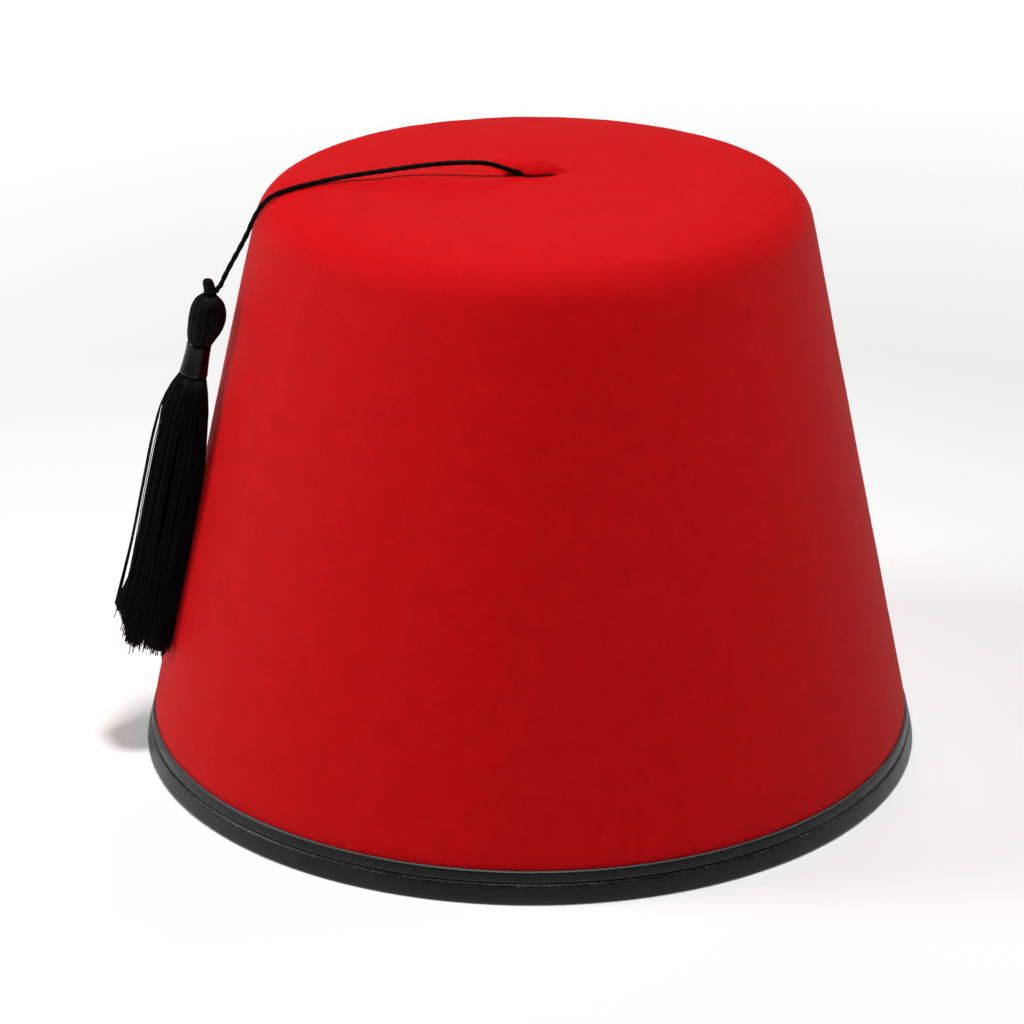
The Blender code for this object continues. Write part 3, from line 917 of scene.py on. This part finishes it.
def make_wrap():
    """Satin wound round the neck in fine turns, with rolled edges and a slanted top."""
    rows, sides = 24, 72
    rings = []
    for step in range(rows + 1):
        share = step / rows
        along = WRAP_TOP + (WRAP_BOTTOM - WRAP_TOP) * step / rows
        rolled = WRAP_ROLLED * (ease(share, 0.07, 0.0) + 0.6 * ease(share, 0.95, 1.0))
        waist = WRAP_WAIST * math.sin(math.pi * share)
        size = (WRAP_SIZE + WRAP_FLARE * share - waist - rolled) * MM
        rib = WRAP_RIB * math.cos(math.pi * step)
        ring = []
        for i in range(sides):
            angle = math.tau * i / sides
            slant = WRAP_SLANT * math.sin(angle) * (1 - share)
            outward = (size if math.cos(angle) > 0 else size * WRAP_TO_WALL) + rib
            sideways = size * WRAP_SIDEWAYS + rib
            point = along_tassel(along + slant, outward * math.cos(angle), sideways * math.sin(angle))
            ring.append(held_off_wall(point, GAP))
        rings.append(ring)
    wrap = sleeve("satin_wrap", rings)
    wall = wrap.modifiers.new("thickness", "SOLIDIFY")
    wall.thickness = WRAP_THICKNESS
    wall.offset = -1
    soften = wrap.modifiers.new("rounded edges", "BEVEL")
    soften.width = 0.12 * MM
    soften.segments = 2
    soften.limit_method = "ANGLE"
    apply_modifiers(wrap)
    smooth_by_angle(wrap, 50)
    return wrap


def strand_end(angle, chance):
    """How far down a strand at this angle ends: sooner on the outer side, and a few stick out."""
    share = 0.5 - 0.5 * math.cos(angle)
    end = TIP_OUTER + (TIP_INNER - TIP_OUTER) * (0.82 * ease(share, 0.0, 0.23) + 0.18 * share)
    if chance.random() < 0.06:
        end += chance.uniform(0.8, 2.6) * MM
    return end + chance.gauss(0, 0.45) * MM


def make_skirt():
    """Bare strands in loose locks, from under the wrap down to their cut ends."""
    chance = random.Random(23)
    paths, sizes = [], []

    def add(angle, share, steps, size, bow=0.0, thin=0.18, flare=0.0):
        lock = round(angle / math.tau * SKIRT_LOCKS) * math.tau / SKIRT_LOCKS
        end = strand_end(angle, chance) - LOCK_UNEVEN * (0.5 + 0.5 * math.sin(5.3 * lock * SKIRT_LOCKS))
        drift = chance.uniform(-0.08, 0.08)
        wave, phase = chance.uniform(0.0, 0.05), chance.uniform(0, math.tau)
        aside = math.remainder(angle - THIN_SIDE, math.tau)
        thin *= math.exp(-((aside / 0.6) ** 2))
        path = []
        for step in range(steps + 1):
            t = step / steps
            along = SKIRT_TOP + (end - SKIRT_TOP) * t
            gather = 0.42 * math.sin(math.pi * min(1.0, t * 1.15)) ** 2
            here = angle + (lock - angle) * gather + drift * t**2 + wave * math.sin(5 * t + phase)
            bulge = share * (1 + bow * math.sin(math.pi * min(1, t * 1.1)) + flare * t**3)
            bulge *= 1 - thin * ease(t, 0.1, 0.22) * ease(t, 1.0, 0.85)
            path.append(on_tassel(along, here, bulge, size / 2))
        paths.append(path)
        sizes.append(size)

    for k in range(OUTSIDE_STRANDS):
        angle = math.tau * (k + chance.uniform(-0.4, 0.4)) / OUTSIDE_STRANDS
        share, size = chance.uniform(0.86, 1.0), STRAND * chance.uniform(0.8, 1.15)
        add(angle, share, 15, size, chance.uniform(-0.04, 0.03))
    for _ in range(INSIDE_STRANDS):
        add(chance.uniform(0, math.tau), chance.uniform(0.1, 0.85) ** 0.6, 9, STRAND * 1.2)
    for _ in range(CLEAR_STRANDS):
        angle = THIN_SIDE + chance.gauss(0, 0.1)
        bow, thin = chance.uniform(-0.03, 0.02), chance.choice((0.0, 0.0, 0.05))
        add(angle, 1.0, 20, STRAND * 0.9, bow, thin, chance.uniform(-0.04, 0.05))
    for _ in range(STRAY_STRANDS):
        add(chance.gauss(0.8, 0.8), 1.0, 18, STRAND * 0.85, chance.uniform(0.0, 0.06))
    return tubes("tassel_skirt", paths, sizes, 4)


# ---------------------------------------------------------------- materials


def new_socket(group, name, kind, value=None, out=False):
    made = group.interface.new_socket(name=name, in_out="OUTPUT" if out else "INPUT", socket_type=kind)
    if value is not None:
        made.default_value = value
    return made


def add_node(tree, kind, **settings):
    made = tree.nodes.new(kind)
    for key, value in settings.items():
        if key in made.inputs:
            made.inputs[key].default_value = value
        else:
            setattr(made, key, value)
    return made


def link(tree, source, target):
    tree.links.new(source, target)


def maths(tree, operation, first, second, clamp=False):
    made = tree.nodes.new("ShaderNodeMath")
    made.operation = operation
    made.use_clamp = clamp
    for index, value in enumerate((first, second)):
        if isinstance(value, (int, float)):
            made.inputs[index].default_value = value
        else:
            link(tree, value, made.inputs[index])
    return made.outputs[0]


def mixed(tree, first, first_share, second, second_share):
    """Two values added up, each with its share."""
    first_part = maths(tree, "MULTIPLY", first, first_share)
    return maths(tree, "ADD", first_part, maths(tree, "MULTIPLY", second, second_share))


def group_of(name, inputs, outputs):
    group = bpy.data.node_groups.new(name, "ShaderNodeTree")
    for label, kind, value in inputs:
        new_socket(group, label, kind, value)
    for label, kind in outputs:
        new_socket(group, label, kind, out=True)
    return group, group.nodes.new("NodeGroupInput"), group.nodes.new("NodeGroupOutput")


def build_fibre_group():
    """Matted fibres: a height, and a tone that is light on their tops and varies in soft blotches."""
    group, given, made = group_of(
        "matted_fibres",
        [
            ("Vector", "NodeSocketVector", None),
            ("Fibre Scale", "NodeSocketFloat", 3200.0),
            ("Blotch Scale", "NodeSocketFloat", 220.0),
            ("Blotch Share", "NodeSocketFloat", 0.5),
        ],
        [("Height", "NodeSocketFloat"), ("Tone", "NodeSocketFloat")],
    )
    fibres = add_node(group, "ShaderNodeTexNoise", Detail=4.0, Roughness=0.65, Distortion=1.6)
    pressed = add_node(group, "ShaderNodeTexNoise", Detail=3.0, Roughness=0.5, Distortion=0.4)
    blotch = add_node(group, "ShaderNodeTexNoise", Detail=4.0, Roughness=0.55, Distortion=0.3)
    coarser = maths(group, "MULTIPLY", given.outputs["Fibre Scale"], 0.22)
    for texture, scale in (
        (fibres, given.outputs["Fibre Scale"]),
        (pressed, coarser),
        (blotch, given.outputs["Blotch Scale"]),
    ):
        link(group, given.outputs["Vector"], texture.inputs["Vector"])
        link(group, scale, texture.inputs["Scale"])
    height = mixed(group, fibres.outputs["Fac"], 0.6, pressed.outputs["Fac"], 0.4)
    link(group, height, made.inputs["Height"])
    mix = add_node(group, "ShaderNodeMix", data_type="FLOAT")
    link(group, given.outputs["Blotch Share"], mix.inputs[0])
    link(group, height, mix.inputs[2])
    link(group, blotch.outputs["Fac"], mix.inputs[3])
    link(group, mix.outputs[0], made.inputs["Tone"])
    return group


def build_grain_group():
    """Leather grain: small rounded cells with creases between them."""
    group, given, made = group_of(
        "leather_grain",
        [("Vector", "NodeSocketVector", None), ("Cell Scale", "NodeSocketFloat", 1500.0)],
        [("Height", "NodeSocketFloat"), ("Crease", "NodeSocketFloat")],
    )
    cells = add_node(group, "ShaderNodeTexVoronoi", feature="DISTANCE_TO_EDGE")
    pores = add_node(group, "ShaderNodeTexNoise", Detail=3.0, Roughness=0.6)
    for texture, factor in ((cells, 1.0), (pores, 2.6)):
        scale = maths(group, "MULTIPLY", given.outputs["Cell Scale"], factor)
        link(group, given.outputs["Vector"], texture.inputs["Vector"])
        link(group, scale, texture.inputs["Scale"])
    rounded = maths(group, "MULTIPLY", cells.outputs["Distance"], 3.2, clamp=True)
    height = mixed(group, rounded, 0.75, pores.outputs["Fac"], 0.25)
    link(group, height, made.inputs["Height"])
    link(group, maths(group, "SUBTRACT", 1.0, rounded, clamp=True), made.inputs["Crease"])
    return group


FIBRES = build_fibre_group()
GRAIN = build_grain_group()


def start_material(name, roughness, **constants):
    """A new material with these numbers on its shader, and the Object coordinates for its patterns."""
    made = bpy.data.materials.new(name)
    made.use_nodes = True
    tree = made.node_tree
    shader = tree.nodes["Principled BSDF"]
    shader.inputs["Roughness"].default_value = roughness
    for key, value in constants.items():
        shader.inputs[key.replace("_", " ")].default_value = value
    where = add_node(tree, "ShaderNodeTexCoord")
    return made, tree, shader, where.outputs["Object"]


def place_group(tree, group, **values):
    made = tree.nodes.new("ShaderNodeGroup")
    made.node_tree = group
    for key, value in values.items():
        slot = made.inputs[key.replace("_", " ")]
        if isinstance(value, (int, float)):
            slot.default_value = value
        else:
            link(tree, value, slot)
    return made


def blend_colours(tree, share, low, high):
    mix = add_node(tree, "ShaderNodeMix", data_type="RGBA")
    mix.inputs[6].default_value = (*low, 1)
    mix.inputs[7].default_value = (*high, 1)
    link(tree, share, mix.inputs[0])
    return mix.outputs[2]


def contrast(tree, value, low, high):
    """Stretches the values between low and high to 0 to 1."""
    ramp = add_node(tree, "ShaderNodeMapRange")
    ramp.inputs["From Min"].default_value = low
    ramp.inputs["From Max"].default_value = high
    link(tree, value, ramp.inputs["Value"])
    return ramp.outputs["Result"]


def bump(tree, shader, height, strength, distance):
    made = add_node(tree, "ShaderNodeBump", Strength=strength, Distance=distance)
    link(tree, height, made.inputs["Height"])
    link(tree, made.outputs["Normal"], shader.inputs["Normal"])


def felt_material():
    made, tree, shader, where = start_material(
        "pressed_felt",
        0.6,
        Specular_IOR_Level=0.085,
        Sheen_Weight=0.01,
        Sheen_Roughness=0.4,
        Sheen_Tint=(1.0, 0.6, 0.6, 1),
    )
    fibres = place_group(
        tree, FIBRES, Vector=where, Fibre_Scale=3000.0, Blotch_Scale=160.0, Blotch_Share=0.4
    )
    tone = contrast(tree, fibres.outputs["Tone"], 0.35, 0.65)
    link(tree, blend_colours(tree, tone, *FELT_RED), shader.inputs["Base Color"])
    link(tree, contrast(tree, fibres.outputs["Height"], 2.3, -0.3), shader.inputs["Roughness"])
    bump(tree, shader, fibres.outputs["Height"], 0.9, 0.3 * MM)
    return made


def leather_material(name, colours, cell_scale, edge, highlight_grain, pale):
    """Grained leather with a painted highlight: the tops of its grain are painted pale, more and more
    between the two heights of edge.
    """
    made, tree, shader, where = start_material(name, 0.4, Specular_IOR_Level=0.3)
    grain = place_group(tree, GRAIN, Vector=where, Cell_Scale=cell_scale)
    fibres = place_group(
        tree, FIBRES, Vector=where, Fibre_Scale=900.0, Blotch_Scale=120.0, Blotch_Share=0.8
    )
    tone = contrast(tree, fibres.outputs["Tone"], 0.35, 0.65)
    height = add_node(tree, "ShaderNodeSeparateXYZ")
    link(tree, where, height.inputs[0])
    # Painted highlight: pale grey is mixed into the high grain near the edge, in place of light caught
    # there.
    near_edge = contrast(tree, height.outputs["Z"], *edge)
    painted_highlight = maths(tree, "MULTIPLY", near_edge, contrast(tree, grain.outputs["Height"], *highlight_grain))
    paler = add_node(tree, "ShaderNodeMix", data_type="RGBA")
    link(tree, painted_highlight, paler.inputs[0])
    link(tree, blend_colours(tree, tone, *colours), paler.inputs[6])
    paler.inputs[7].default_value = (pale, pale * 1.08, pale * 1.12, 1)
    link(tree, paler.outputs[2], shader.inputs["Base Color"])
    rough = mixed(tree, grain.outputs["Crease"], 0.2, tone, 0.1)
    link(tree, maths(tree, "ADD", rough, 0.22), shader.inputs["Roughness"])
    bump(tree, shader, grain.outputs["Height"], 0.3, 0.08 * MM)
    return made


def yarn_material(name, colours, roughness, scale, specular):
    made, tree, shader, where = start_material(name, roughness, Specular_IOR_Level=specular)
    fibres = place_group(
        tree, FIBRES, Vector=where, Fibre_Scale=scale, Blotch_Scale=400.0, Blotch_Share=0.5
    )
    tone = contrast(tree, fibres.outputs["Tone"], 0.3, 0.7)
    link(tree, blend_colours(tree, tone, *colours), shader.inputs["Base Color"])
    rough = maths(tree, "ADD", maths(tree, "MULTIPLY", tone, 0.15), roughness - 0.07)
    link(tree, rough, shader.inputs["Roughness"])
    bump(tree, shader, fibres.outputs["Height"], 0.3, 0.05 * MM)
    return made


# ---------------------------------------------------------------- stage


def make_camera():
    data = bpy.data.cameras.new("camera")
    data.lens = CAMERA_LENS
    data.sensor_width = 36
    camera = placed("camera", data)
    back = Vector((0, -math.cos(CAMERA_TILT), math.sin(CAMERA_TILT)))
    camera.location = Vector(CAMERA_TARGET) + back * CAMERA_DISTANCE
    camera.rotation_euler = (math.pi / 2 - CAMERA_TILT, 0, 0)
    bpy.context.scene.camera = camera


def soft_light(name, azimuth, elevation, distance, size, power):
    """A round soft light aimed at the hat, so many degrees round from the camera's side and up."""
    data = bpy.data.lights.new(name, "AREA")
    data.shape = "DISK"
    data.size = size
    data.energy = power
    light = placed(name, data)
    around, up = math.radians(azimuth), math.radians(elevation)
    towards = Vector((math.sin(around) * math.cos(up), -math.cos(around) * math.cos(up), math.sin(up)))
    light.location = LIT_POINT + towards * distance
    light.rotation_euler = towards.to_track_quat("Z", "Y").to_euler()


def make_world():
    """White to the camera, and almost dark as light."""
    world = bpy.data.worlds.new("studio")
    bpy.context.scene.world = world
    world.use_nodes = True
    tree = world.node_tree
    tree.nodes.clear()
    seen = add_node(tree, "ShaderNodeBackground", Color=(1, 1, 1, 1), Strength=1.0)
    light = add_node(tree, "ShaderNodeBackground", Color=(1, 1, 1, 1), Strength=AMBIENT)
    path = add_node(tree, "ShaderNodeLightPath")
    mix = add_node(tree, "ShaderNodeMixShader")
    out = add_node(tree, "ShaderNodeOutputWorld")
    link(tree, path.outputs["Is Camera Ray"], mix.inputs[0])
    link(tree, light.outputs[0], mix.inputs[1])
    link(tree, seen.outputs[0], mix.inputs[2])
    link(tree, mix.outputs[0], out.inputs[0])


def make_floor():
    """A pale floor that catches the shadow near the hat, and glows white far from it."""
    deselect_all()
    bpy.ops.mesh.primitive_plane_add(size=12, location=(0, 0, -0.02 * MM))
    floor = named("floor")
    made, tree, shader, where = start_material("pale_floor", 0.9, Specular_IOR_Level=0.0)
    shader.inputs["Base Color"].default_value = (FLOOR_SHADE, FLOOR_SHADE, FLOOR_SHADE, 1)
    shader.inputs["Emission Color"].default_value = (1, 1, 1, 1)
    away = add_node(tree, "ShaderNodeVectorMath", operation="LENGTH")
    link(tree, where, away.inputs[0])
    far = contrast(tree, away.outputs["Value"], FLOOR_GLOW_FROM, FLOOR_GLOW_FULL)
    glow = maths(tree, "ADD", maths(tree, "MULTIPLY", far, FLOOR_GLOW_MORE), FLOOR_GLOW)
    link(tree, glow, shader.inputs["Emission Strength"])
    floor.data.materials.append(made)


# ---------------------------------------------------------------- the hat, put together

make_camera()
yarn = yarn_material("silky_yarn", YARN_BLACK, 0.5, 5200.0, 0.09)
satin = yarn_material("wound_satin", SATIN_BLACK, 0.34, 2600.0, 0.2)
felt = felt_material()
# Painted glints: pale grain tops along the roll's upper shoulder, all round the hat.
roll_leather = leather_material(
    "grained_leather",
    ROLL_BLACK,
    cell_scale=2300.0,
    edge=(4.0 * MM, 4.7 * MM),
    highlight_grain=(0.84, 0.92),
    pale=0.5,
)
# Painted highlight: a pale line along the strip's top edge, all round the hat.
strip_leather = leather_material(
    "smooth_leather",
    STRIP_BLACK,
    cell_scale=3000.0,
    edge=(7.66 * MM, 7.84 * MM),
    highlight_grain=(0.1, 0.7),
    pale=0.15,
)

route = cord_path()
cord = twisted("twisted_cord", route, CORD)
knot, loop, tie = make_inner_knot(), make_loop(), make_tie()
head, wrap, skirt = make_head(), make_wrap(), make_skirt()
crown, roll, strip = make_crown(), make_roll(), make_strip()

for piece, finish, slot, node in (
    (crown, felt, "felt", "crown"),
    (roll, roll_leather, "leather", "rim_binding"),
    (strip, strip_leather, "leather", "upper_band"),
    (knot, yarn, "yarn", "inner_knot"),
    (cord, yarn, "yarn", "cord"),
    (loop, yarn, "yarn", "tassel_loop"),
    (tie, yarn, "yarn", "tassel_tie"),
    (skirt, yarn, "yarn", "tassel"),
    (head, yarn, "yarn", None),
    (wrap, satin, "satin", "tassel_wrap"),
):
    piece.data.materials.append(finish)
    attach(piece, "root")
    if node:
        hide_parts(node)

make_world()
make_floor()
for light in LIGHTS:
    soft_light(*light)
bpy.context.scene.view_settings.view_transform = "Standard"
